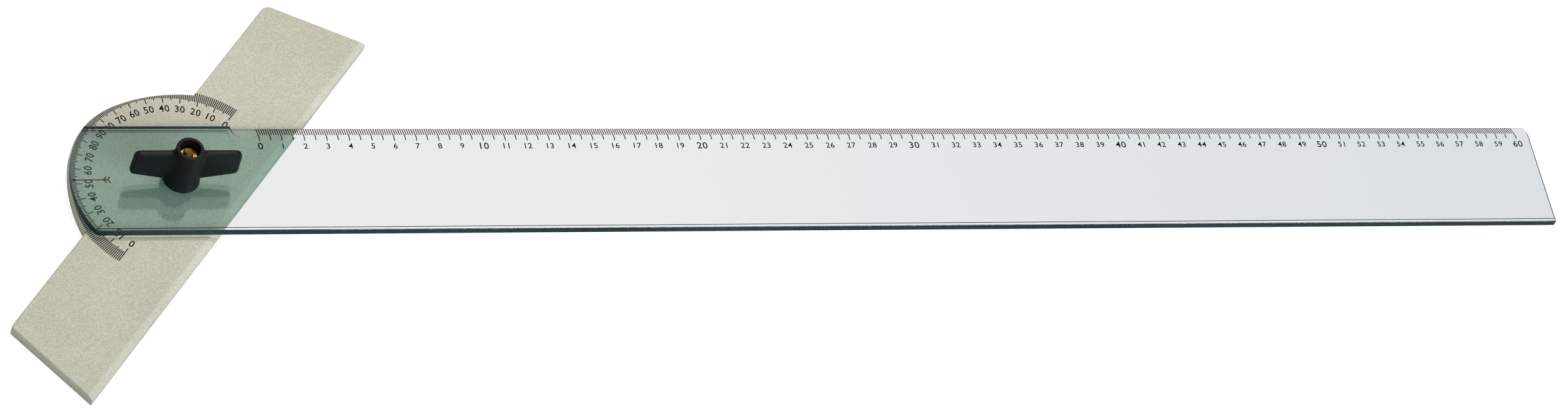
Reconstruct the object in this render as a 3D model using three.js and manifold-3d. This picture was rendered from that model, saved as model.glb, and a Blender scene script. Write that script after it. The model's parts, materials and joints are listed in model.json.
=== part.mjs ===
// An adjustable drafting T-square: a flat stock with a protractor lobe, a clear acrylic straightedge
// that swivels on it, and a wing nut that clamps the two on a captive bolt.
// Millimetres, +Z up. The origin is on the swivel axis, on the plane that the stock lies on, and the
// straightedge runs along +X.

import * as THREE from "three";
import { mergeVertices } from "three/addons/utils/BufferGeometryUtils.js";
import Module from "manifold-3d";

// Clearances between pieces.
const seatClearance = 0.25; // between faces that are clamped together
const fitClearance = 0.3; // between a shaft or head and the wall round it
const overrun = 5; // how far a cutting tool passes beyond the surface that it cuts

// Stock: a moulded plastic plate. Its own x runs along the bar and its own y towards the lobe.
const stockAngleDeg = 51.4;
const stockThickness = 4.7;
const pivotToGuideEdge = 27;
const pivotToBackEdge = 19;
const stockUpperReach = 111.8;
const stockLowerReach = 109.9;
const stockEndSlantDeg = 12.3;
const stockTopChamfer = 0.4;
const backUpperCornerRadius = 4;
const backLowerCornerRadius = 2;
const guideBevelWidth = 3.1;
const guideBevelDrop = 1;
const lobeReach = 48.1;
const lobeHalfWidth = 45.6;
const lobeRadiusShares = { crown: 0.877193, flank: 1.535088 }; // of the lobe's half width

// Straightedge: cast acrylic sheet with one thinned, graduated edge. Under its plain edge a shallow
// relief keeps wet ink from creeping in.
const bladeThickness = 4;
const pivotToScaleEdge = 28;
const pivotToPlainEdge = 26.2;
const pivotToFarEnd = 644.6;
const bladeHubRadius = 47;
const bladeHubCornerRadius = 2.5;
const bladeTopChamfer = 0.25;
const scaleBevelWidth = 6;
const scaleBevelDrop = 2.5;
const scaleBevelStart = 25.5;
const scaleCutterRadius = 6.6;
const inkReliefWidth = 2.85;
const inkReliefHeight = 0.6;

// Clamp bolt: a thin hexagon head, captive in the stock, and a threaded shank at its pitch radius.
const boltShankRadius = 2.2;
const boltTipChamfer = 0.6;
const boltHeadAcrossFlats = 8;
const boltHeadHeight = 2.4;
const boltReachAboveBlade = 11;

// Pressure washer under the nut.
const washerRadius = 6.8;
const washerThickness = 0.8;

// Wing nut: a moulded grip on a brass threaded insert.
const nutRimHeight = 23; // of the rim above the straightedge
const hubBaseRadius = 8.3;
const hubRadius = 6.05;
const hubFlareHeight = 12;
const hubRimRounding = 0.6;
const hubMouthRadius = 4.4;
const hubMouthDepth = 4.5;
const wingTopReach = 23.2;
const wingFootReach = 23.6;
const wingTopBelowRim = 2.9;
const wingTipFootHeight = 6.4; // of the wing's lower edge above the straightedge, at its tip
const wingRootFootHeight = 2.8; // the same, at the hub
const wingThickness = 3.2;
const wingEdgeRounding = 0.9;
const wingCornerRadius = 2.6;
const wingRootFilletRadius = 4;
const wingTopFilletRadius = 2.2;
const insertRadius = 3.9;
const insertEdgeChamfer = 0.4;

// Number of straight steps in round forms.
const outlineSteps = 24;
const roundSteps = 48;

const bladeUnderside = stockThickness + seatClearance;
const bladeTop = bladeUnderside + bladeThickness;
const washerUnderside = bladeTop + seatClearance;
const nutUnderside = washerUnderside + washerThickness + seatClearance;
const rimHeight = bladeTop + nutRimHeight - nutUnderside;
const insertTop = rimHeight - hubMouthDepth;
const wingTop = rimHeight - wingTopBelowRim;
const wingTipFoot = bladeTop + wingTipFootHeight - nutUnderside;
const wingRootFoot = bladeTop + wingRootFootHeight - nutUnderside;
const boltHoleRadius = boltShankRadius + fitClearance;
const insertSeatRadius = insertRadius + fitClearance;
const lobeCrownRadius = lobeRadiusShares.crown * lobeHalfWidth;
const lobeFlankRadius = lobeRadiusShares.flank * lobeHalfWidth;
const stockAngle = THREE.MathUtils.degToRad(stockAngleDeg);
const endSlope = Math.tan(THREE.MathUtils.degToRad(stockEndSlantDeg));

const wasm = await Module();
wasm.setup();

// Solids for the cuts and joins.

function solidOf(geometry) {
  const bare = geometry.clone();
  bare.deleteAttribute("normal");
  bare.deleteAttribute("uv");
  const merged = mergeVertices(bare, 1e-4);
  return new wasm.Manifold(
    new wasm.Mesh({
      numProp: 3,
      vertProperties: merged.attributes.position.array,
      triVerts: new Uint32Array(merged.index.array),
    }),
  );
}

function geometryOf(solid) {
  const mesh = solid.getMesh();
  const geometry = new THREE.BufferGeometry();
  geometry.setAttribute("position", new THREE.BufferAttribute(mesh.vertProperties, 3));
  geometry.setIndex(new THREE.BufferAttribute(mesh.triVerts, 1));
  geometry.computeVertexNormals();
  return geometry;
}

function prism(outline, bottom, top) {
  const options = { depth: top - bottom, bevelEnabled: false, curveSegments: outlineSteps };
  return solidOf(new THREE.ExtrudeGeometry(outline, options).translate(0, 0, bottom));
}

// A plate whose upper edges are chamfered all round and whose lower edges are square.
function chamferedPlate(outline, thickness, chamfer) {
  const options = {
    depth: thickness,
    bevelSize: chamfer,
    bevelOffset: -chamfer,
    bevelThickness: chamfer,
    bevelSegments: 1,
    curveSegments: outlineSteps,
  };
  const plate = solidOf(new THREE.ExtrudeGeometry(outline, options).translate(0, 0, -chamfer));
  return plate.trimByPlane([0, 0, 1], 0);
}

function turned(profile) {
  return solidOf(new THREE.LatheGeometry(profile, roundSteps).rotateX(Math.PI / 2));
}

function roundBar(radius, bottom, top) {
  const profile = [
    new THREE.Vector2(0, bottom),
    new THREE.Vector2(radius, bottom),
    new THREE.Vector2(radius, top),
    new THREE.Vector2(0, top),
  ];
  return turned(profile);
}

// A bar along X whose section is drawn as points of Y and Z.
function barAlongX(section, start, end) {
  const options = { depth: end - start, bevelEnabled: false };
  const geometry = new THREE.ExtrudeGeometry(new THREE.Shape(section), options);
  const alongX = new THREE.Matrix4().makeBasis(
    new THREE.Vector3(0, 1, 0),
    new THREE.Vector3(0, 0, 1),
    new THREE.Vector3(1, 0, 0),
  );
  return solidOf(geometry.applyMatrix4(alongX).translate(start, 0, 0));
}

// The wedge over a bevel that falls from an inner line to the edge at y = edge, on the side where
// outward points.
function bevelWedge(edge, outward, width, drop, top, start, end) {
  const slope = drop / width;
  const section = [
    new THREE.Vector2(edge - outward * (width + overrun), top + overrun * slope),
    new THREE.Vector2(edge + outward * overrun, top - drop - overrun * slope),
    new THREE.Vector2(edge + outward * overrun, top + overrun),
    new THREE.Vector2(edge - outward * (width + overrun), top + overrun),
  ];
  return barAlongX(outward > 0 ? section : section.reverse(), start, end);
}

function hexagon(acrossFlats) {
  const shape = new THREE.Shape();
  const cornerRadius = acrossFlats / Math.sqrt(3);
  for (let corner = 0; corner < 6; corner++) {
    const angle = (corner * Math.PI) / 3;
    const point = [cornerRadius * Math.cos(angle), cornerRadius * Math.sin(angle)];
    if (corner === 0) shape.moveTo(...point);
    else shape.lineTo(...point);
  }
  return shape;
}

// Rounds a convex corner of an anticlockwise outline.
function roundCorner(shape, before, corner, after, radius) {
  const back = before.clone().sub(corner).normalize();
  const on = after.clone().sub(corner).normalize();
  const half = Math.acos(THREE.MathUtils.clamp(back.dot(on), -1, 1)) / 2;
  const start = corner.clone().addScaledVector(back, radius / Math.tan(half));
  const end = corner.clone().addScaledVector(on, radius / Math.tan(half));
  const inward = back.clone().add(on).normalize();
  const centre = corner.clone().addScaledVector(inward, radius / Math.sin(half));
  shape.lineTo(start.x, start.y);
  const startAngle = start.clone().sub(centre).angle();
  const endAngle = end.clone().sub(centre).angle();
  shape.absarc(centre.x, centre.y, radius, startAngle, endAngle, false);
}

// Stock

function stockOutline() {
  const guideUpper = new THREE.Vector2(
    stockUpperReach + endSlope * pivotToGuideEdge,
    -pivotToGuideEdge,
  );
  const guideLower = new THREE.Vector2(
    -stockLowerReach - endSlope * pivotToGuideEdge,
    -pivotToGuideEdge,
  );
  const backUpper = new THREE.Vector2(
    stockUpperReach - endSlope * pivotToBackEdge,
    pivotToBackEdge,
  );
  const backLower = new THREE.Vector2(
    -stockLowerReach + endSlope * pivotToBackEdge,
    pivotToBackEdge,
  );
  const lobeUpper = new THREE.Vector2(lobeHalfWidth, pivotToBackEdge);
  const lobeLower = new THREE.Vector2(-lobeHalfWidth, pivotToBackEdge);

  // The crown arc is tangent to a flatter arc on each flank, which ends on the bar's back edge.
  const crownCentre = lobeReach - lobeCrownRadius;
  const spread = lobeFlankRadius - lobeCrownRadius;
  const rise = pivotToBackEdge - crownCentre;
  const span = Math.hypot(lobeHalfWidth, rise);
  const lever = (lobeFlankRadius ** 2 - spread ** 2 - span ** 2) / (2 * spread);
  const crownHalfAngle = Math.asin(lever / span) - Math.atan2(rise, lobeHalfWidth);
  const flankX = -spread * Math.sin(crownHalfAngle);
  const flankY = crownCentre - spread * Math.cos(crownHalfAngle);
  const flankStart = Math.atan2(pivotToBackEdge - flankY, lobeHalfWidth - flankX);
  const crownStart = Math.PI / 2 - crownHalfAngle;

  const shape = new THREE.Shape();
  shape.moveTo(guideLower.x, guideLower.y);
  shape.lineTo(guideUpper.x, guideUpper.y);
  roundCorner(shape, guideUpper, backUpper, lobeUpper, backUpperCornerRadius);
  shape.lineTo(lobeUpper.x, lobeUpper.y);
  shape.absarc(flankX, flankY, lobeFlankRadius, flankStart, crownStart, false);
  shape.absarc(0, crownCentre, lobeCrownRadius, crownStart, Math.PI - crownStart, false);
  shape.absarc(
    -flankX,
    flankY,
    lobeFlankRadius,
    Math.PI - crownStart,
    Math.PI - flankStart,
    false,
  );
  roundCorner(shape, lobeLower, backLower, guideLower, backLowerCornerRadius);
  return shape;
}

function makeStock() {
  const reach = stockUpperReach + stockLowerReach;
  const plate = chamferedPlate(stockOutline(), stockThickness, stockTopChamfer);
  const bevel = bevelWedge(
    -pivotToGuideEdge,
    -1,
    guideBevelWidth,
    guideBevelDrop,
    stockThickness,
    -reach,
    reach,
  );
  const boltHole = roundBar(boltHoleRadius, -overrun, stockThickness + overrun);
  const pocket = prism(
    hexagon(boltHeadAcrossFlats + 2 * fitClearance),
    -overrun,
    boltHeadHeight + fitClearance,
  );
  return geometryOf(plate.subtract(bevel).subtract(boltHole).subtract(pocket));
}

// Straightedge

function bladeOutline() {
  const hubX = -Math.sqrt(bladeHubRadius ** 2 - pivotToScaleEdge ** 2);
  const hubCornerAngle = Math.PI - Math.asin(pivotToScaleEdge / bladeHubRadius);

  // The hub's lower corner is rounded inside its arc and the plain edge.
  const filletY = bladeHubCornerRadius - pivotToPlainEdge;
  const filletX = -Math.sqrt((bladeHubRadius - bladeHubCornerRadius) ** 2 - filletY ** 2);
  const filletStart = Math.atan2(filletY, filletX) + 2 * Math.PI;

  const shape = new THREE.Shape();
  shape.moveTo(pivotToFarEnd, -pivotToPlainEdge);
  shape.lineTo(pivotToFarEnd, pivotToScaleEdge);
  shape.lineTo(hubX, pivotToScaleEdge);
  shape.absarc(0, 0, bladeHubRadius, hubCornerAngle, filletStart, false);
  shape.absarc(filletX, filletY, bladeHubCornerRadius, filletStart, 1.5 * Math.PI, false);
  return shape;
}

// The plan of the milling cutter's path along the scale edge, which ends in a round run-out.
function cutterPath() {
  const edge = pivotToScaleEdge;
  const centreX = scaleBevelStart + scaleCutterRadius;
  const farX = pivotToFarEnd + overrun;
  const shape = new THREE.Shape();
  shape.moveTo(farX, edge - scaleCutterRadius);
  shape.lineTo(farX, edge + scaleCutterRadius);
  shape.lineTo(centreX, edge + scaleCutterRadius);
  shape.absarc(centreX, edge, scaleCutterRadius, Math.PI / 2, 1.5 * Math.PI, false);
  return shape;
}

// The shallow step under the plain edge, from the hub to the far end.
function inkRelief() {
  const inner = inkReliefWidth - pivotToPlainEdge;
  const outer = -pivotToPlainEdge - overrun;
  const section = [
    new THREE.Vector2(outer, -overrun),
    new THREE.Vector2(inner, -overrun),
    new THREE.Vector2(inner, inkReliefHeight),
    new THREE.Vector2(outer, inkReliefHeight),
  ];
  return barAlongX(section, -bladeHubRadius - overrun, pivotToFarEnd + overrun);
}

function makeBlade() {
  const plate = chamferedPlate(bladeOutline(), bladeThickness, bladeTopChamfer);
  const wedge = bevelWedge(
    pivotToScaleEdge,
    1,
    scaleBevelWidth,
    scaleBevelDrop,
    bladeThickness,
    0,
    pivotToFarEnd + overrun,
  );
  const path = prism(cutterPath(), -overrun, bladeThickness + overrun);
  const boltHole = roundBar(boltHoleRadius, -overrun, bladeThickness + overrun);
  const slopes = plate.subtract(wedge.intersect(path));
  return geometryOf(slopes.subtract(inkRelief()).subtract(boltHole));
}

// Clamp bolt

function makeBolt() {
  const tip = bladeTop + boltReachAboveBlade;
  const inHead = boltHeadHeight / 2;
  const shank = turned([
    new THREE.Vector2(0, inHead),
    new THREE.Vector2(boltShankRadius, inHead),
    new THREE.Vector2(boltShankRadius, tip - boltTipChamfer),
    new THREE.Vector2(boltShankRadius - boltTipChamfer, tip),
    new THREE.Vector2(0, tip),
  ]);
  return geometryOf(prism(hexagon(boltHeadAcrossFlats), 0, boltHeadHeight).add(shank));
}

// Pressure washer

function makeWasher() {
  const disc = roundBar(washerRadius, 0, washerThickness);
  return geometryOf(disc.subtract(roundBar(boltHoleRadius, -overrun, washerThickness + overrun)));
}

// Wing nut grip

function hubProfile() {
  const path = new THREE.Path();
  path.moveTo(0, 0);
  path.lineTo(hubBaseRadius, 0);
  path.quadraticCurveTo(hubRadius, hubFlareHeight / 2, hubRadius, hubFlareHeight);
  path.lineTo(hubRadius, rimHeight - hubRimRounding);
  path.absarc(
    hubRadius - hubRimRounding,
    rimHeight - hubRimRounding,
    hubRimRounding,
    0,
    Math.PI / 2,
    false,
  );
  path.lineTo(0, rimHeight);
  return path.getPoints(outlineSteps / 3);
}

// Both wings from the side, drawn as one plate in X and Z.
function wingOutline() {
  const rootFoot = new THREE.Vector2(hubBaseRadius, wingRootFoot);
  const tipFoot = new THREE.Vector2(wingFootReach, wingTipFoot);
  const tipTop = new THREE.Vector2(wingTopReach, wingTop);
  const rootTop = new THREE.Vector2(hubRadius + wingTopFilletRadius, wingTop);
  const filletTop = wingTop + wingTopFilletRadius;
  const mirrored = (point) => new THREE.Vector2(-point.x, point.y);
  const shape = new THREE.Shape();
  shape.moveTo(rootFoot.x, rootFoot.y);
  roundCorner(shape, rootFoot, tipFoot, tipTop, wingCornerRadius);
  roundCorner(shape, tipFoot, tipTop, rootTop, wingCornerRadius);
  shape.lineTo(rootTop.x, rootTop.y);
  shape.quadraticCurveTo(hubRadius, wingTop, hubRadius, filletTop);
  shape.lineTo(-hubRadius, filletTop);
  shape.quadraticCurveTo(-hubRadius, wingTop, -rootTop.x, rootTop.y);
  roundCorner(shape, mirrored(rootTop), mirrored(tipTop), mirrored(tipFoot), wingCornerRadius);
  roundCorner(shape, mirrored(tipTop), mirrored(tipFoot), mirrored(rootFoot), wingCornerRadius);
  shape.lineTo(-rootFoot.x, rootFoot.y);
  return shape;
}

// The wings' root from above: arcs that run from the plate's faces tangent onto the hub.
function rootOutline() {
  const halfPlate = wingThickness / 2;
  const radius = wingRootFilletRadius;
  const centreY = halfPlate + radius;
  const centreX = Math.sqrt((hubRadius + radius) ** 2 - centreY ** 2);
  const sweep = Math.atan2(centreY, centreX);
  const shape = new THREE.Shape();
  shape.moveTo(centreX, -halfPlate);
  shape.lineTo(centreX, halfPlate);
  shape.absarc(centreX, centreY, radius, 1.5 * Math.PI, Math.PI + sweep, true);
  shape.absarc(-centreX, centreY, radius, -sweep, -Math.PI / 2, true);
  shape.lineTo(-centreX, -halfPlate);
  shape.absarc(-centreX, -centreY, radius, Math.PI / 2, sweep, true);
  shape.absarc(centreX, -centreY, radius, Math.PI - sweep, Math.PI / 2, true);
  return shape;
}

function makeWings() {
  const options = {
    depth: wingThickness - 2 * wingEdgeRounding,
    bevelSize: wingEdgeRounding,
    bevelOffset: -wingEdgeRounding,
    bevelThickness: wingEdgeRounding,
    bevelSegments: 3,
    curveSegments: outlineSteps / 3,
  };
  const plate = new THREE.ExtrudeGeometry(wingOutline(), options);
  plate.translate(0, 0, wingEdgeRounding - wingThickness / 2).rotateX(Math.PI / 2);
  const root = prism(
    rootOutline(),
    wingRootFoot + wingEdgeRounding,
    wingTop - wingEdgeRounding,
  );
  return solidOf(plate).add(root);
}

function makeGrip() {
  const mouth = roundBar(hubMouthRadius, insertTop, rimHeight + overrun);
  const seat = roundBar(insertSeatRadius, -overrun, insertTop + hubMouthDepth / 2);
  return geometryOf(turned(hubProfile()).add(makeWings()).subtract(mouth).subtract(seat));
}

// Threaded insert

function makeInsert() {
  const outside = turned([
    new THREE.Vector2(0, 0),
    new THREE.Vector2(insertRadius - insertEdgeChamfer, 0),
    new THREE.Vector2(insertRadius, insertEdgeChamfer),
    new THREE.Vector2(insertRadius, insertTop - insertEdgeChamfer),
    new THREE.Vector2(insertRadius - insertEdgeChamfer, insertTop),
    new THREE.Vector2(0, insertTop),
  ]);
  return geometryOf(outside.subtract(roundBar(boltHoleRadius, -overrun, insertTop + overrun)));
}

// The assembly

const stockPlastic = new THREE.MeshStandardMaterial({ color: 0xbebca8, roughness: 0.55 });
const clearAcrylic = new THREE.MeshStandardMaterial({
  color: 0xb9d6cd,
  roughness: 0.05,
  transparent: true,
  opacity: 0.45,
});
const zincSteel = new THREE.MeshStandardMaterial({ color: 0xb4b6b8, roughness: 0.35, metalness: 1 });
const blackPlastic = new THREE.MeshStandardMaterial({ color: 0x1b1d1f, roughness: 0.4 });
const brass = new THREE.MeshStandardMaterial({ color: 0xbe8c46, roughness: 0.3, metalness: 1 });

function piece(name, geometry, material, height) {
  const mesh = new THREE.Mesh(geometry, material);
  mesh.name = name;
  mesh.position.z = height;
  return mesh;
}

const group = new THREE.Group();

const stock = piece("stock", makeStock(), stockPlastic, 0);
stock.rotation.z = stockAngle;
const bolt = piece("clamp_bolt", makeBolt(), zincSteel, 0);
bolt.rotation.z = stockAngle;
group.add(stock, bolt);

group.add(piece("straightedge", makeBlade(), clearAcrylic, bladeUnderside));
group.add(piece("pressure_washer", makeWasher(), zincSteel, washerUnderside));

const wingNut = new THREE.Group();
wingNut.add(piece("wing_nut_grip", makeGrip(), blackPlastic, 0));
wingNut.add(piece("threaded_insert", makeInsert(), brass, 0));
wingNut.position.z = nutUnderside;
group.add(wingNut);

export default group;
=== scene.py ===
import json
import math
import bpy
from mathutils import Matrix, Vector


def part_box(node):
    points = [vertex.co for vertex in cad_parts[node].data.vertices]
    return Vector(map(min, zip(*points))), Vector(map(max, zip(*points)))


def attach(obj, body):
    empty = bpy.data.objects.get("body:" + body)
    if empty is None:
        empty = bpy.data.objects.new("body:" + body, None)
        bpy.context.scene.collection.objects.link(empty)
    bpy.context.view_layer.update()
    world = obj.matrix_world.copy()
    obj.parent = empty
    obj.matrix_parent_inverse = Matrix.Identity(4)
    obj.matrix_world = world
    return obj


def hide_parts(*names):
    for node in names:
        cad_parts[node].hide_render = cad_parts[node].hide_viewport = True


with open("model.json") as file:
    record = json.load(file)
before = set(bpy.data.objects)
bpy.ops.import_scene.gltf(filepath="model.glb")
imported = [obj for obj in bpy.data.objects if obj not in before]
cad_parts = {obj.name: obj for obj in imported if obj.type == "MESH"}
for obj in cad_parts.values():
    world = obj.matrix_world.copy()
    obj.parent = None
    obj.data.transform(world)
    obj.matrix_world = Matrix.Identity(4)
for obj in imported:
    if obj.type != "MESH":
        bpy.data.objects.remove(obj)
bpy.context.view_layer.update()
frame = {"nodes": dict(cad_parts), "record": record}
MM = 0.001

# Stock: the flat plate that slides along the drawing board, with the round protractor lobe on its
# back edge. Real piece: injection-moulded ABS, eroded to a fine matt grain, its top edges broken.
weld_distance = 0.002 * MM
facet_angle = math.radians(0.5)
sharp_angle = math.radians(20)
smooth_angle = math.radians(40)


def pick(piece):
    """Selects one piece and nothing else."""
    bpy.ops.object.select_all(action="DESELECT")
    piece.select_set(True)
    bpy.context.view_layer.objects.active = piece


def edit_all():
    """Opens the picked piece in edit mode, with all of it selected."""
    bpy.ops.object.mode_set(mode="EDIT")
    bpy.ops.mesh.select_all(action="SELECT")


def finish_with(piece, kind, **settings):
    """Gives a piece one modifier with its settings, and applies it."""
    pick(piece)
    modifier = piece.modifiers.new(kind.lower(), kind)
    for name, value in settings.items():
        setattr(modifier, name, value)
    bpy.ops.object.modifier_apply(modifier=modifier.name)


def piece_from(node, name, edge_rounding):
    """Makes a new piece in the shape of a CAD node, with whole faces and finely rounded edges."""
    piece = bpy.data.objects.new(name, frame["nodes"][node].data.copy())
    bpy.context.scene.collection.objects.link(piece)
    piece.data.materials.clear()
    pick(piece)
    edit_all()
    bpy.ops.mesh.remove_doubles(threshold=weld_distance)
    bpy.ops.mesh.dissolve_limited(angle_limit=facet_angle)
    bpy.ops.object.mode_set(mode="OBJECT")
    finish_with(piece, "BEVEL", limit_method="ANGLE", angle_limit=sharp_angle,
                width=edge_rounding, segments=3)
    bpy.ops.object.shade_smooth_by_angle(angle=smooth_angle)
    finish_with(piece, "WEIGHTED_NORMAL", keep_sharp=True, weight=100)
    return piece


def linear(code):
    """A colour written as sRGB hex, such as "BEBCA8", as linear red, green, blue and alpha."""
    parts = [int(code[i:i + 2], 16) / 255 for i in (0, 2, 4)]
    return [c / 12.92 if c < 0.04045 else ((c + 0.055) / 1.055) ** 2.4 for c in parts] + [1.0]


def add_node(owner, kind, links=None, stops=(), **settings):
    """Adds a shader node: settings name its properties or inputs, links feed its inputs, and stops
    are the positions and colours of a ramp."""
    node = owner.node_tree.nodes.new(kind)
    for name, value in settings.items():
        if hasattr(node, name):
            setattr(node, name, value)
        else:
            node.inputs[name.replace("_", " ")].default_value = value
    for name, socket in (links or {}).items():
        owner.node_tree.links.new(socket, node.inputs[name])
    for number, (position, colour) in enumerate(stops):
        node.color_ramp.elements[number].position = position
        node.color_ramp.elements[number].color = colour
    return node


def new_material(name):
    """An empty material, and the object coordinates that its patterns follow."""
    material = bpy.data.materials.new(name)
    material.use_nodes = True
    material.node_tree.nodes.clear()
    return material, add_node(material, "ShaderNodeTexCoord").outputs["Object"]


def coat(piece, *materials):
    """Gives a piece these materials in place of any that it had."""
    piece.data.materials.clear()
    for material in materials:
        piece.data.materials.append(material)


# Matt ABS scatters light softly with no clear reflection. Its filler shows as fine light and dark
# specks, and the eroded mould leaves a grain of about 0.25 mm, drawn at 0.5 mm so that it shows.
# The long bevel takes a paler, slightly greyer copy of the same colours: a painted highlight for
# the light that its faces catch.
speck_size = 0.75 * MM
cloud_size = 60 * MM
grain_size = 0.5 * MM
grain_depth = 0.03 * MM
abs_skin_and_painted_bevel = []
for finish, dark_speck, pale_speck in (("moulded ABS, eroded matt", "B2B2A2", "D6D6C5"),
                                       ("moulded ABS, bevel with painted highlight", "B8B8AA", "DADACC")):
    abs_plastic, where = new_material(finish)
    speck = add_node(abs_plastic, "ShaderNodeTexNoise", {"Vector": where},
                     Scale=1 / speck_size, Detail=3.0, Roughness=0.7)
    cloud = add_node(abs_plastic, "ShaderNodeTexNoise", {"Vector": where},
                     Scale=1 / cloud_size, Detail=2.0, Roughness=0.5)
    speck_tone = add_node(abs_plastic, "ShaderNodeValToRGB", {"Fac": speck.outputs["Fac"]},
                          stops=((0.3, linear(dark_speck)), (0.7, linear(pale_speck))))
    cloud_tone = add_node(abs_plastic, "ShaderNodeValToRGB", {"Fac": cloud.outputs["Fac"]},
                          stops=((0.35, linear("F4F4F2")), (0.65, linear("FFFFFF"))))
    tone = add_node(abs_plastic, "ShaderNodeMix",
                    {"A": speck_tone.outputs["Color"], "B": cloud_tone.outputs["Color"]},
                    data_type="RGBA", blend_type="MULTIPLY", Factor=1.0)
    grain = add_node(abs_plastic, "ShaderNodeTexNoise", {"Vector": where},
                     Scale=1 / grain_size, Detail=1.0)
    relief = add_node(abs_plastic, "ShaderNodeBump", {"Height": grain.outputs["Fac"]},
                      Strength=0.25, Distance=grain_depth)
    body = add_node(abs_plastic, "ShaderNodeBsdfPrincipled",
                    {"Base Color": tone.outputs["Result"], "Normal": relief.outputs["Normal"]},
                    Roughness=0.7, IOR=1.54, Specular_IOR_Level=0.12)
    add_node(abs_plastic, "ShaderNodeOutputMaterial", {"Surface": body.outputs["BSDF"]})
    abs_skin_and_painted_bevel.append(abs_plastic)

stock_edge_rounding = 0.15 * MM
stock = piece_from("stock", "stock_plate", stock_edge_rounding)
coat(stock, *abs_skin_and_painted_bevel)

# The bevel's faces look up, and lean a little towards the guide edge; they take the paler copy with
# the painted highlight.
bevel_least_rise = 0.9
bevel_most_rise = 0.995
bevel_least_lean = 0.05
guide = next(mount for mount in frame["record"]["mounts"] if mount["name"] == "guide_edge")
for face in stock.data.polygons:
    looks_up = bevel_least_rise < face.normal.z < bevel_most_rise
    leans_out = face.normal.dot(Vector(guide["axis"])) > bevel_least_lean
    face.material_index = 1 if looks_up and leans_out else 0
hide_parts("stock")
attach(stock, "stock_body")

# Protractor print: a half circle of degree lines and numbers on the stock's top, round the swivel,
# 0 at both ends of the bar and 90 at the lobe's crown. Real piece: black screen ink.
ink_thickness = 0.02 * MM
line_width = 0.44 * MM
stock_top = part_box("stock")[1].z
stock_angle = math.atan2(guide["axis"][0], -guide["axis"][1])
ring_radius = 50.4 * MM
degree_inner = 44.8 * MM
five_inner = 44.0 * MM
ten_inner = 42.4 * MM
ring_number_radius = 39.4 * MM
ring_number_height = 3.6 * MM
ring_number_width_share = 0.9
print_offset = Vector((0.85, 0.3)) * MM  # how far the print sits off the swivel's centre
number_curve_steps = 3
number_boldness_share = 0.012
number_spacing_share = 1.08
half_turn = 180

# The lobe's edge is a crown arc with a flatter arc tangent to it on each side.
lobe_reach = 48.1 * MM
lobe_half_width = 45.6 * MM
lobe_crown_radius = 40 * MM
lobe_flank_radius = 70 * MM
lobe_margin = 0.45 * MM
back_edge = 19 * MM
crown_y = lobe_reach - lobe_crown_radius
arc_spread = lobe_flank_radius - lobe_crown_radius
lobe_rise = back_edge - crown_y
lobe_span = math.hypot(lobe_half_width, lobe_rise)
lever = (lobe_flank_radius ** 2 - arc_spread ** 2 - lobe_span ** 2) / (2 * arc_spread)
crown_half_angle = math.asin(lever / lobe_span) - math.atan2(lobe_rise, lobe_half_width)
flank_x = -arc_spread * math.sin(crown_half_angle)
flank_y = crown_y - arc_spread * math.cos(crown_half_angle)


def lobe_edge(angle):
    """How far the printable top reaches from the swivel at an angle from the bar's direction."""
    ray = Vector((abs(math.cos(angle)), math.sin(angle)))
    crown_end = Vector((math.sin(crown_half_angle), math.cos(crown_half_angle))) * lobe_crown_radius
    on_crown = ray.y * crown_end.x > ray.x * (crown_end.y + crown_y)
    centre = Vector((0, crown_y)) if on_crown else Vector((flank_x, flank_y))
    radius = lobe_crown_radius if on_crown else lobe_flank_radius
    along = ray.dot(centre)
    reach = along + math.sqrt(radius ** 2 - centre.length_squared + along ** 2)
    return reach - lobe_margin if reach * ray.y > back_edge else ring_radius


def start_print(name):
    """Opens an empty mesh for printed lines, in edit mode."""
    bpy.ops.object.select_all(action="DESELECT")
    bpy.ops.mesh.primitive_plane_add(size=MM)
    sheet = bpy.context.object
    sheet.name = name
    edit_all()
    bpy.ops.mesh.delete(type="VERT")
    return sheet


def print_line(start, end, width, lift=0.0):
    """Adds a flat line between two points of the drawing plane, or a little above it."""
    run = end - start
    middle = (start + end) / 2
    origin = (0, 0, 0)
    bpy.ops.mesh.select_all(action="DESELECT")
    bpy.ops.mesh.primitive_plane_add(size=1)
    bpy.ops.transform.resize(value=(run.length, width, 1), center_override=origin)
    bpy.ops.transform.rotate(value=-math.atan2(run.y, run.x), orient_axis="Z",
                             center_override=origin)
    bpy.ops.transform.translate(value=(middle.x, middle.y, lift))


def print_number(text, height, width_share):
    """A flat number centred on the origin, a little bold and widely set, made a mesh."""
    bpy.ops.object.select_all(action="DESELECT")
    bpy.ops.object.text_add()
    number = bpy.context.object
    number.data.body = text
    number.data.resolution_u = number_curve_steps
    number.data.offset = number_boldness_share
    number.data.space_character = number_spacing_share
    bpy.ops.object.convert(target="MESH")
    number = bpy.context.object
    bpy.ops.object.origin_set(type="ORIGIN_GEOMETRY", center="BOUNDS")
    scale = height / number.dimensions.y
    number.location = (0, 0, 0)
    number.scale = (scale * width_share, scale, 1)
    bpy.ops.object.transform_apply(location=True, rotation=True, scale=True)
    return number


def join_into(main, others):
    """Makes the others part of the main piece."""
    pick(main)
    for other in others:
        other.select_set(True)
    bpy.ops.object.join()


def place(piece, matrix):
    """Moves a piece's mesh, and leaves its object at the origin."""
    piece.data.transform(matrix)
    piece.data.update()


# Screen ink dries matt and not quite even: the film varies a little in density along a line.
ink_patch_size = 1.5 * MM


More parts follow.
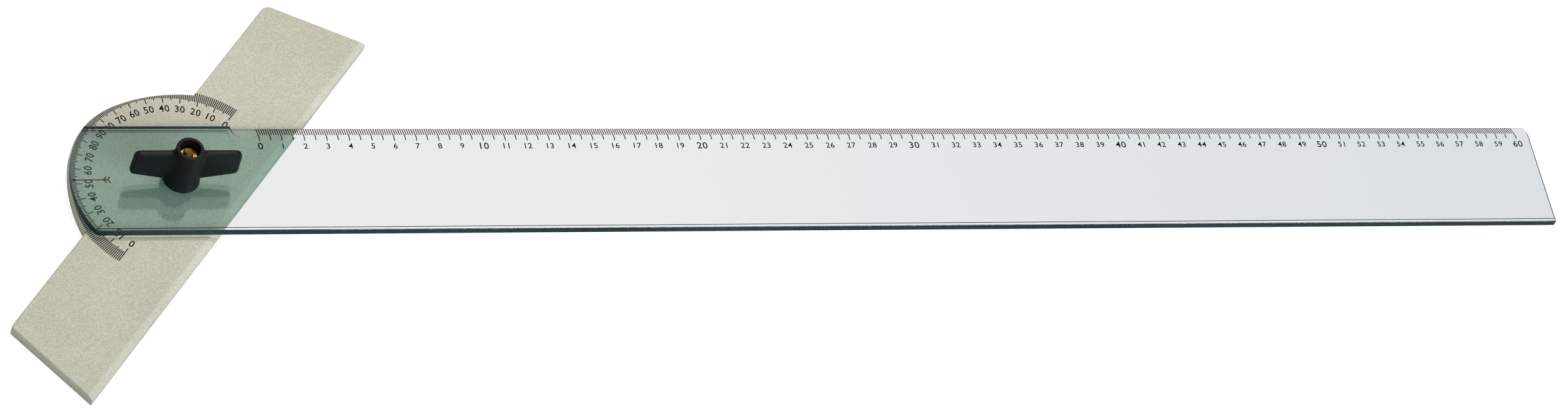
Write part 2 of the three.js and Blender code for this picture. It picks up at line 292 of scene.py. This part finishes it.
def screen_ink(name, dense, thin):
    """Ink of one colour, from where its film is dense to where it is thin."""
    ink, where = new_material(name)
    density = add_node(ink, "ShaderNodeTexNoise", {"Vector": where},
                       Scale=1 / ink_patch_size, Detail=2.0)
    tone = add_node(ink, "ShaderNodeValToRGB", {"Fac": density.outputs["Fac"]},
                    stops=((0.35, linear(dense)), (0.7, linear(thin))))
    body = add_node(ink, "ShaderNodeBsdfPrincipled", {"Base Color": tone.outputs["Color"]},
                    Roughness=0.6, Specular_IOR_Level=0.1)
    add_node(ink, "ShaderNodeOutputMaterial", {"Surface": body.outputs["BSDF"]})
    return ink


black_ink = screen_ink("screen ink, black", "08090A", "121416")
ring = start_print("protractor_print")
for degree in range(half_turn + 1):
    angle = math.radians(degree)
    ray = Vector((math.cos(angle), math.sin(angle)))
    inner = ten_inner if degree % 10 == 0 else five_inner if degree % 5 == 0 else degree_inner
    outer = min(ring_radius, lobe_edge(angle) - ray.dot(print_offset))
    print_line(ray * inner, ray * outer, line_width)
bpy.ops.object.mode_set(mode="OBJECT")
ring_numbers = []
for degree in range(0, half_turn + 1, 10):
    angle = math.radians(degree)
    number = print_number(str(min(degree, half_turn - degree)), ring_number_height,
                          ring_number_width_share)
    middle = ring_number_radius * Vector((math.cos(angle), math.sin(angle), 0))
    place(number, Matrix.Translation(middle) @ Matrix.Rotation(angle - math.pi / 2, 4, "Z"))
    ring_numbers.append(number)
join_into(ring, ring_numbers)
place(ring, Matrix.Rotation(stock_angle, 4, "Z")
      @ Matrix.Translation((*print_offset, stock_top)))
finish_with(ring, "SOLIDIFY", thickness=ink_thickness, offset=1)
coat(ring, black_ink)
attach(ring, "stock_body")

# Clamp bolt: its thin hexagon head sits in the stock's pocket and its thread rises through the
# nut's insert. Real piece: M5 steel, cold headed, rolled thread, zinc plated.
bolt_low, bolt_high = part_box("clamp_bolt")
bolt_edge_rounding = 0.12 * MM
bolt_head_top = 2.4 * MM
head_crop_radius = 8 * MM
head_crop_chamfer = 0.1 * MM
bolt_core_radius = 2.0 * MM
bolt_crest_radius = 2.4 * MM
bolt_blank_radius = 2.42 * MM
bolt_point_chamfer = 0.6 * MM
overrun = MM
thread_pitch = 0.8 * MM
thread_flat = thread_pitch / 8
thread_steps = 32
cut_tolerance = 0.001 * MM
rim_angle = math.radians(60)
turned_smooth_angle = math.radians(30)

# Zinc plating is a bright grey with a faint bloom, which is a little paler and duller in patches.
bloom_size = 3 * MM
zinc_steel, where = new_material("steel, zinc plated")
bloom = add_node(zinc_steel, "ShaderNodeTexNoise", {"Vector": where},
                 Scale=1 / bloom_size, Detail=4.0)
zinc_tone = add_node(zinc_steel, "ShaderNodeValToRGB", {"Fac": bloom.outputs["Fac"]},
                     stops=((0.3, linear("A9ACAE")), (0.7, linear("C6C8C8"))))
zinc_rough = add_node(zinc_steel, "ShaderNodeMapRange", {"Value": bloom.outputs["Fac"]},
                      To_Min=0.28, To_Max=0.45)
zinc_body = add_node(zinc_steel, "ShaderNodeBsdfPrincipled",
                     {"Base Color": zinc_tone.outputs["Color"],
                      "Roughness": zinc_rough.outputs["Result"]}, Metallic=1.0)
add_node(zinc_steel, "ShaderNodeOutputMaterial", {"Surface": zinc_body.outputs["BSDF"]})


def threaded_rod(name, core_radius, crest_radius, bottom, top):
    """A closed right-handed thread on the Z axis: one pitch of its section, screwed upwards from
    below the bottom to past the top, and then cut to length."""
    turns = math.ceil((top - bottom) / thread_pitch) + 2
    start = thread_pitch * (math.floor(bottom / thread_pitch) - 1)
    flank = (thread_pitch - 2 * thread_flat) / 2
    section = [(core_radius, 0), (core_radius, thread_flat), (crest_radius, thread_flat + flank),
               (crest_radius, 2 * thread_flat + flank), (core_radius, thread_pitch)]
    bpy.ops.object.select_all(action="DESELECT")
    bpy.ops.mesh.primitive_plane_add(size=MM)
    rod = bpy.context.object
    rod.name = name
    edit_all()
    bpy.ops.mesh.merge(type="CENTER")
    bpy.ops.transform.translate(value=(core_radius, 0, start))
    for (radius, height), (next_radius, next_height) in zip(section, section[1:]):
        step = (next_radius - radius, 0, next_height - height)
        bpy.ops.mesh.extrude_vertices_move(TRANSFORM_OT_translate={"value": step})
    bpy.ops.object.mode_set(mode="OBJECT")
    finish_with(rod, "SCREW", screw_offset=thread_pitch, iterations=turns, steps=thread_steps,
                render_steps=thread_steps, use_merge_vertices=False)
    edit_all()
    bpy.ops.mesh.remove_doubles(threshold=weld_distance)
    bpy.ops.mesh.bisect(plane_co=(0, 0, bottom), plane_no=(0, 0, 1), use_fill=True,
                        clear_inner=True, threshold=cut_tolerance)
    bpy.ops.mesh.select_all(action="SELECT")
    bpy.ops.mesh.bisect(plane_co=(0, 0, top), plane_no=(0, 0, 1), use_fill=True,
                        clear_outer=True, threshold=cut_tolerance)
    bpy.ops.mesh.select_all(action="SELECT")
    bpy.ops.mesh.normals_make_consistent(inside=False)
    bpy.ops.object.mode_set(mode="OBJECT")
    return rod


def combine(piece, operation, other):
    """Joins, cuts or crops a piece with another, which is then deleted."""
    finish_with(piece, "BOOLEAN", operation=operation, object=other)
    bpy.data.objects.remove(other)


def turned_bar(name, radius, bottom, top, chamfer):
    """A round bar on the Z axis with both ends chamfered."""
    bpy.ops.object.select_all(action="DESELECT")
    bpy.ops.mesh.primitive_cylinder_add(vertices=2 * thread_steps, radius=radius,
                                        depth=top - bottom, location=(0, 0, (bottom + top) / 2))
    bar = bpy.context.object
    bar.name = name
    bpy.ops.object.transform_apply(location=True)
    finish_with(bar, "BEVEL", limit_method="ANGLE", angle_limit=rim_angle, width=chamfer,
                segments=1)
    return bar


bolt = piece_from("clamp_bolt", "clamp_bolt_plated", bolt_edge_rounding)
head_crop = turned_bar("head_crop", head_crop_radius, bolt_low.z - overrun, bolt_head_top,
                       head_crop_chamfer)
combine(bolt, "INTERSECT", head_crop)
shank = threaded_rod("bolt_thread", bolt_core_radius, bolt_crest_radius, bolt_head_top / 2,
                     bolt_high.z)
thread_blank = turned_bar("thread_blank", bolt_blank_radius, 0, bolt_high.z, bolt_point_chamfer)
combine(shank, "INTERSECT", thread_blank)
combine(bolt, "UNION", shank)
bpy.ops.object.shade_smooth_by_angle(angle=turned_smooth_angle)
coat(bolt, zinc_steel)
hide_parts("clamp_bolt")
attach(bolt, "stock_body")

# Straightedge: the long clear strip that swivels on the stock, its back edge milled thin for the
# scale. Real piece: 4 mm cast acrylic (PMMA) sheet, its long edges and hub end sawn and scraped.
blade_low, blade_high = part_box("straightedge")
sheet_middle = (blade_low.z + blade_high.z) / 2
sheet_edge_rounding = 0.08 * MM
thin_edge_start = 36 * MM  # past the round of the hub end
upright_limit = 0.5

# Clear acrylic bends light by an index of 1.49. This sheet has a pale blue-green tint, which shows
# over the stock and where light runs a long way inside, and its faces wave slightly from casting.
casting_wave = 25 * MM
casting_depth = 0.05 * MM
acrylic, where = new_material("cast acrylic sheet, faint blue-green")
casting = add_node(acrylic, "ShaderNodeTexNoise", {"Vector": where},
                   Scale=1 / casting_wave, Detail=1.0)
casting_relief = add_node(acrylic, "ShaderNodeBump", {"Height": casting.outputs["Fac"]},
                          Strength=0.04, Distance=casting_depth)
sheet_body = add_node(acrylic, "ShaderNodeBsdfPrincipled",
                      {"Normal": casting_relief.outputs["Normal"]},
                      Base_Color=(1, 1, 1, 1), Roughness=0.02, IOR=1.49, Transmission_Weight=1.0)
tint = add_node(acrylic, "ShaderNodeVolumeAbsorption", Color=(0.0, 0.573, 0.548, 1.0),
                Density=62.0)

# Light on its way down to the stock goes straight through the sheet, less what two faces reflect.
path = add_node(acrylic, "ShaderNodeLightPath")
lighting = add_node(acrylic, "ShaderNodeMath",
                    {0: path.outputs["Is Shadow Ray"], 1: path.outputs["Is Diffuse Ray"]},
                    operation="MAXIMUM")
clear_way = add_node(acrylic, "ShaderNodeBsdfTransparent", Color=(0.93, 0.93, 0.93, 1.0))
sheet = add_node(acrylic, "ShaderNodeMixShader",
                 {0: lighting.outputs["Value"], 1: sheet_body.outputs["BSDF"],
                  2: clear_way.outputs["BSDF"]})
add_node(acrylic, "ShaderNodeOutputMaterial",
         {"Surface": sheet.outputs["Shader"], "Volume": tint.outputs["Volume"]})

# A sawn and scraped edge is slightly rough, with fine upright saw marks. Its colour is painted
# shade: an opaque deep blue-green stands in for the little light that gets through the edge and for
# light that has run a long way in the sheet.
saw_mark_step = 0.8 * MM
saw_mark_squeeze = (1, 1, 0.1)  # the marks are ten times as tall as they are wide
edge_cloud_size = 80 * MM
sawn_edge_painted_dark, where = new_material("cast acrylic sheet, sawn edge in painted shade")
upright = add_node(sawn_edge_painted_dark, "ShaderNodeMapping", {"Vector": where}, Scale=saw_mark_squeeze)
saw_marks = add_node(sawn_edge_painted_dark, "ShaderNodeTexNoise", {"Vector": upright.outputs["Vector"]},
                     Scale=1 / saw_mark_step, Detail=2.0)
edge_depth = add_node(sawn_edge_painted_dark, "ShaderNodeTexNoise", {"Vector": where},
                      Scale=1 / edge_cloud_size, Detail=1.0)
saw_marks_painted_dark = add_node(sawn_edge_painted_dark, "ShaderNodeValToRGB", {"Fac": saw_marks.outputs["Fac"]},
                    stops=((0.3, linear("122A2F")), (0.7, linear("203D42"))))
depth_tone = add_node(sawn_edge_painted_dark, "ShaderNodeValToRGB", {"Fac": edge_depth.outputs["Fac"]},
                      stops=((0.35, linear("D0D4D8")), (0.65, linear("FFFFFF"))))
edge_painted_dark = add_node(sawn_edge_painted_dark, "ShaderNodeMix",
                     {"A": saw_marks_painted_dark.outputs["Color"], "B": depth_tone.outputs["Color"]},
                     data_type="RGBA", blend_type="MULTIPLY", Factor=1.0)
edge_body = add_node(sawn_edge_painted_dark, "ShaderNodeBsdfPrincipled",
                     {"Base Color": edge_painted_dark.outputs["Result"]},
                     Roughness=0.25, IOR=1.49, Specular_IOR_Level=0.3)
add_node(sawn_edge_painted_dark, "ShaderNodeOutputMaterial", {"Surface": edge_body.outputs["BSDF"]})

# The thin edge and the lower half of the far end are clear; all other upright faces are sawn and
# take the opaque edge with painted shade.
blade = piece_from("straightedge", "straightedge_sheet", sheet_edge_rounding)
coat(blade, acrylic, sawn_edge_painted_dark)
edit_all()
bpy.ops.mesh.bisect(plane_co=(0, 0, sheet_middle), plane_no=(0, 0, 1))
bpy.ops.object.mode_set(mode="OBJECT")
for face in blade.data.polygons:
    face_start = min(blade.data.vertices[v].co.x for v in face.vertices)
    far_end = face.normal.x > upright_limit
    thin_edge = face.normal.y > upright_limit and face_start > thin_edge_start
    clear = (far_end or thin_edge) and face.center.z < sheet_middle
    face.material_index = 1 if abs(face.normal.z) < upright_limit and not clear else 0
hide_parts("straightedge")
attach(blade, "straightedge_body")

# Scale: millimetre lines on the milled slope, longer ones for each half and whole centimetre, and a
# number at every centimetre from 0 to 60. Real piece: black screen ink on the sheet's top.
scale_zero = 37.6 * MM
centimetre = 10 * MM
half_zero = scale_zero + centimetre / 2
scale_centimetres = 60
slope_width = 6 * MM
slope_drop = 2.5 * MM
millimetre_line_end = 4.4 * MM
half_line_end = 7.55 * MM
whole_line_end = 7.9 * MM
scale_number_depth = 10.7 * MM
scale_number_height = 2.9 * MM
tens_number_height = 3.5 * MM
scale_number_width_share = 1.0


def line_row(near, far, first, count, step):
    """A row of lines that run from one depth to another, measured inwards from the thin edge."""
    row = start_print("scale_print")
    print_line(Vector((first, blade_high.y - near)), Vector((first, blade_high.y - far)),
               line_width)
    bpy.ops.object.mode_set(mode="OBJECT")
    finish_with(row, "ARRAY", count=count, use_relative_offset=False, use_constant_offset=True,
                constant_offset_displace=(step, 0, 0))
    return row


def longer_lines(near, half_end, whole_end):
    """The half and the whole centimetre lines' stretches that start at one depth."""
    return [line_row(near, half_end, half_zero, scale_centimetres, centimetre),
            line_row(near, whole_end, scale_zero, scale_centimetres + 1, centimetre)]


millimetres = line_row(0, millimetre_line_end, scale_zero, 10 * scale_centimetres + 1, MM)
join_into(millimetres, longer_lines(millimetre_line_end, slope_width, slope_width))
for vertex in millimetres.data.vertices:
    depth = blade_high.y - vertex.co.y
    vertex.co.z = blade_high.z - slope_drop * (1 - depth / slope_width)
flat_print = longer_lines(slope_width, half_line_end, whole_line_end)
for reading in range(scale_centimetres + 1):
    height = tens_number_height if reading % 10 == 0 else scale_number_height
    number = print_number(str(reading), height, scale_number_width_share)
    place(number, Matrix.Translation((scale_zero + reading * centimetre,
                                      blade_high.y - scale_number_depth, 0)))
    flat_print.append(number)
for flat_part in flat_print:
    place(flat_part, Matrix.Translation((0, 0, blade_high.z)))
join_into(millimetres, flat_print)
finish_with(millimetres, "SOLIDIFY", thickness=ink_thickness, offset=1)
coat(millimetres, black_ink)
millimetres.visible_shadow = False
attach(millimetres, "straightedge_body")

# Index line: an arrow's shaft and feathers on the sheet's centre line, read against the protractor.
# Real piece: red-brown screen ink, printed on the sheet's top in a second pass.
index_start = -46.95 * MM
index_end = -31.6 * MM
index_line_width = 0.48 * MM
feather_pairs = 2
feather_length = 1.3 * MM
feather_half_height = 1.6 * MM
feather_step = 1.6 * MM
feather_lift = ink_thickness / 8  # each stroke lies on the last, so no two share a plane
red_ink = screen_ink("screen ink, red-brown", "400C14", "5C141E")
index = start_print("index_line")
print_line(Vector((index_start, 0)), Vector((index_end, 0)), index_line_width)
lift = 0
for pair in range(feather_pairs):
    root = Vector((index_end - pair * feather_step, 0))
    for side in (-1, 1):
        tip = root + Vector((feather_length, side * feather_half_height))
        lift += feather_lift
        print_line(root, tip, index_line_width, lift)
bpy.ops.object.mode_set(mode="OBJECT")
place(index, Matrix.Translation((0, 0, blade_high.z)))
finish_with(index, "SOLIDIFY", thickness=ink_thickness, offset=1)
coat(index, red_ink)
index.visible_shadow = False
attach(index, "straightedge_body")

# Pressure washer: the thin steel disc that lets the nut turn without marking the acrylic. Real
# piece: stamped from steel strip, tumbled, which rounds its edges, and zinc plated.
washer_edge_rounding = 0.2 * MM
washer = piece_from("pressure_washer", "pressure_washer_stamped", washer_edge_rounding)
coat(washer, zinc_steel)
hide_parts("pressure_washer")
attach(washer, "washer_body")

# Wing nut grip: two flat wings on a flared hub with an open mouth. Real piece: black glass-filled
# nylon, moulded round the brass insert, with soft edges and full fillets.
grip_edge_rounding = 0.05 * MM
grip_voxel = 0.25 * MM
fillet_passes = 14

# Moulded nylon is a satin near-black, a little uneven where it flowed, with a fine pebbled skin.
flow_size = 6 * MM
pebble_size = 0.35 * MM
pebble_depth = 0.02 * MM
nylon, where = new_material("moulded nylon, black")
flow = add_node(nylon, "ShaderNodeTexNoise", {"Vector": where}, Scale=1 / flow_size, Detail=3.0)
nylon_tone = add_node(nylon, "ShaderNodeValToRGB", {"Fac": flow.outputs["Fac"]},
                      stops=((0.3, linear("101314")), (0.7, linear("191D1E"))))
pebbles = add_node(nylon, "ShaderNodeTexNoise", {"Vector": where},
                   Scale=1 / pebble_size, Detail=1.0)
pebble_relief = add_node(nylon, "ShaderNodeBump", {"Height": pebbles.outputs["Fac"]},
                         Strength=0.2, Distance=pebble_depth)
nylon_body = add_node(nylon, "ShaderNodeBsdfPrincipled",
                      {"Base Color": nylon_tone.outputs["Color"],
                       "Normal": pebble_relief.outputs["Normal"]},
                      Roughness=0.45, IOR=1.53, Specular_IOR_Level=0.12)
add_node(nylon, "ShaderNodeOutputMaterial", {"Surface": nylon_body.outputs["BSDF"]})

grip = piece_from("wing_nut_grip", "wing_nut_moulding", grip_edge_rounding)
finish_with(grip, "REMESH", mode="VOXEL", voxel_size=grip_voxel)
finish_with(grip, "SMOOTH", factor=0.5, iterations=fillet_passes)
bpy.ops.object.shade_smooth()
coat(grip, nylon)
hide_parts("wing_nut_grip")
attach(grip, "wing_nut_body")

# Threaded insert: the bush that carries the thread inside the grip. Real piece: free-cutting brass,
# turned and tapped M5, slightly tarnished.
insert_low, insert_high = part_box("threaded_insert")
insert_radius = insert_high.x
insert_chamfer = 0.4 * MM
tap_core_radius = 2.12 * MM
tap_crest_radius = 2.55 * MM
countersink_depth = 0.35 * MM

# Turned brass reflects warmly and clearly between brown patches of tarnish.
tarnish_size = 2 * MM
brass, where = new_material("brass, turned")
tarnish = add_node(brass, "ShaderNodeTexNoise", {"Vector": where},
                   Scale=1 / tarnish_size, Detail=4.0)
brass_tone = add_node(brass, "ShaderNodeValToRGB", {"Fac": tarnish.outputs["Fac"]},
                      stops=((0.35, linear("5E3F1E")), (0.62, linear("CC9A52"))))
brass_body = add_node(brass, "ShaderNodeBsdfPrincipled",
                      {"Base Color": brass_tone.outputs["Color"]}, Roughness=0.3, Metallic=1.0)
add_node(brass, "ShaderNodeOutputMaterial", {"Surface": brass_body.outputs["BSDF"]})

insert = turned_bar("threaded_insert_turned", insert_radius, insert_low.z, insert_high.z,
                    insert_chamfer)
tap = threaded_rod("tap", tap_core_radius, tap_crest_radius, insert_low.z - overrun,
                   insert_high.z + overrun)
combine(insert, "DIFFERENCE", tap)
for end in (insert_low.z, insert_high.z):
    sink = turned_bar("countersink", tap_crest_radius + countersink_depth,
                      end - countersink_depth, end + countersink_depth, countersink_depth)
    combine(insert, "DIFFERENCE", sink)
bpy.ops.object.shade_smooth_by_angle(angle=turned_smooth_angle)
coat(insert, brass)
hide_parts("threaded_insert")
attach(insert, "wing_nut_body")

# Table and light: a white table under an even sky. Two small lamps high behind throw the wing nut's
# overlapping shadows forwards, and a broad diffuser at the front right fills them.
table_size = 6.0
table_centre = (0.3, 0, -0.05 * MM)  # just below the stock, so that no two faces share a plane
white = (1.0, 1.0, 1.0, 1.0)

# The table lights the object as plain white laminate. The camera sees it as white that still takes
# a shadow, and reflections see it dimmer. Seen through the sheet it has a rose tone, which balances
# the sheet's tint and dims towards the far end.
laminate_grey = (0.8, 0.8, 0.8, 1.0)
shade_grey = (0.25, 0.25, 0.25, 1.0)
near_rose = (1.0, 0.86, 0.867, 1.0)
far_rose = (0.878, 0.779, 0.805, 1.0)
rose_near_x = 0.23
rose_far_x = 0.6
table_white, where = new_material("table, white laminate")
rays = add_node(table_white, "ShaderNodeLightPath")
along = add_node(table_white, "ShaderNodeSeparateXYZ", {"Vector": where})
laminate = add_node(table_white, "ShaderNodeBsdfDiffuse", Color=laminate_grey)
shade = add_node(table_white, "ShaderNodeBsdfDiffuse", Color=shade_grey)
glow = add_node(table_white, "ShaderNodeEmission", Color=white, Strength=0.86)
seen = add_node(table_white, "ShaderNodeAddShader",
                {0: shade.outputs["BSDF"], 1: glow.outputs["Emission"]})
mirror_glow = add_node(table_white, "ShaderNodeEmission", Color=white, Strength=0.12)
mirrored = add_node(table_white, "ShaderNodeAddShader",
                    {0: shade.outputs["BSDF"], 1: mirror_glow.outputs["Emission"]})
rose = add_node(table_white, "ShaderNodeValToRGB", {"Fac": along.outputs["X"]},
                stops=((rose_near_x, near_rose), (rose_far_x, far_rose)))
through_glow = add_node(table_white, "ShaderNodeEmission", {"Color": rose.outputs["Color"]},
                        Strength=1.14)
table_surface = laminate.outputs["BSDF"]
for ray_kind, surface in (("Is Camera Ray", seen.outputs["Shader"]),
                          ("Is Glossy Ray", mirrored.outputs["Shader"]),
                          ("Is Transmission Ray", through_glow.outputs["Emission"])):
    table_surface = add_node(table_white, "ShaderNodeMixShader",
                             {0: rays.outputs[ray_kind], 1: table_surface,
                              2: surface}).outputs["Shader"]
add_node(table_white, "ShaderNodeOutputMaterial", {"Surface": table_surface})

bpy.ops.object.select_all(action="DESELECT")
bpy.ops.mesh.primitive_plane_add(size=table_size, location=table_centre)
table = bpy.context.object
table.name = "table"
bpy.ops.object.transform_apply(location=True)
coat(table, table_white)

world = bpy.data.worlds.new("diffusers")
bpy.context.scene.world = world
world.use_nodes = True
world.node_tree.nodes.clear()
sky_rays = add_node(world, "ShaderNodeLightPath")
sky_light = add_node(world, "ShaderNodeBackground", Color=(0.91, 1.0, 1.0, 1.0), Strength=0.4)
sky_seen = add_node(world, "ShaderNodeBackground", Color=white, Strength=1.0)
sky = add_node(world, "ShaderNodeMixShader",
               {0: sky_rays.outputs["Is Camera Ray"], 1: sky_light.outputs["Background"],
                2: sky_seen.outputs["Background"]})
add_node(world, "ShaderNodeOutputWorld", {"Surface": sky.outputs["Shader"]})


def add_lamp(name, direction, distance, size, strength, colour):
    """A square lamp that lights a level face at the origin as a sky of this strength would."""
    towards = Vector(direction).normalized()
    bpy.ops.object.light_add(type="AREA", location=towards * distance)
    lamp = bpy.context.object
    lamp.name = name
    lamp.data.size = size
    lamp.data.energy = strength * math.pi * math.pi * distance ** 2 / towards.z
    lamp.data.color = colour
    lamp.rotation_euler = towards.to_track_quat("Z", "Y").to_euler()


add_lamp("key_lamp", direction=(0.19, 0.50, 1.0), distance=1.1, size=0.05, strength=0.25,
         colour=(1.0, 0.86, 0.83))
add_lamp("second_lamp", direction=(0.14, 0.24, 1.0), distance=1.1, size=0.05, strength=0.18,
         colour=(1.0, 0.88, 0.86))
add_lamp("front_diffuser", direction=(0.6, -0.75, 0.5), distance=2.4, size=1.4, strength=0.29,
         colour=(0.95, 1.0, 1.0))

# Camera: high on the left in front of the object, turned so that the straightedge lies level.
camera_place = Vector((-563.5, -1340.2, 1932.8)) * MM
camera_target = Vector((269.2, -15.0, 8.75)) * MM
camera_roll = math.radians(25.66)
camera_lens = 129.58
camera_sensor = 36.0
camera_far_limit = 50.0
bpy.ops.object.camera_add(location=camera_place)
camera = bpy.context.object
look = (camera_target - camera_place).to_track_quat("-Z", "Y").to_matrix()
camera.rotation_euler = (look @ Matrix.Rotation(camera_roll, 3, "Z")).to_euler()
camera.data.lens = camera_lens
camera.data.sensor_width = camera_sensor
camera.data.sensor_fit = "HORIZONTAL"
camera.data.clip_end = camera_far_limit
bpy.context.scene.camera = camera
bpy.context.scene.view_settings.view_transform = "Standard"
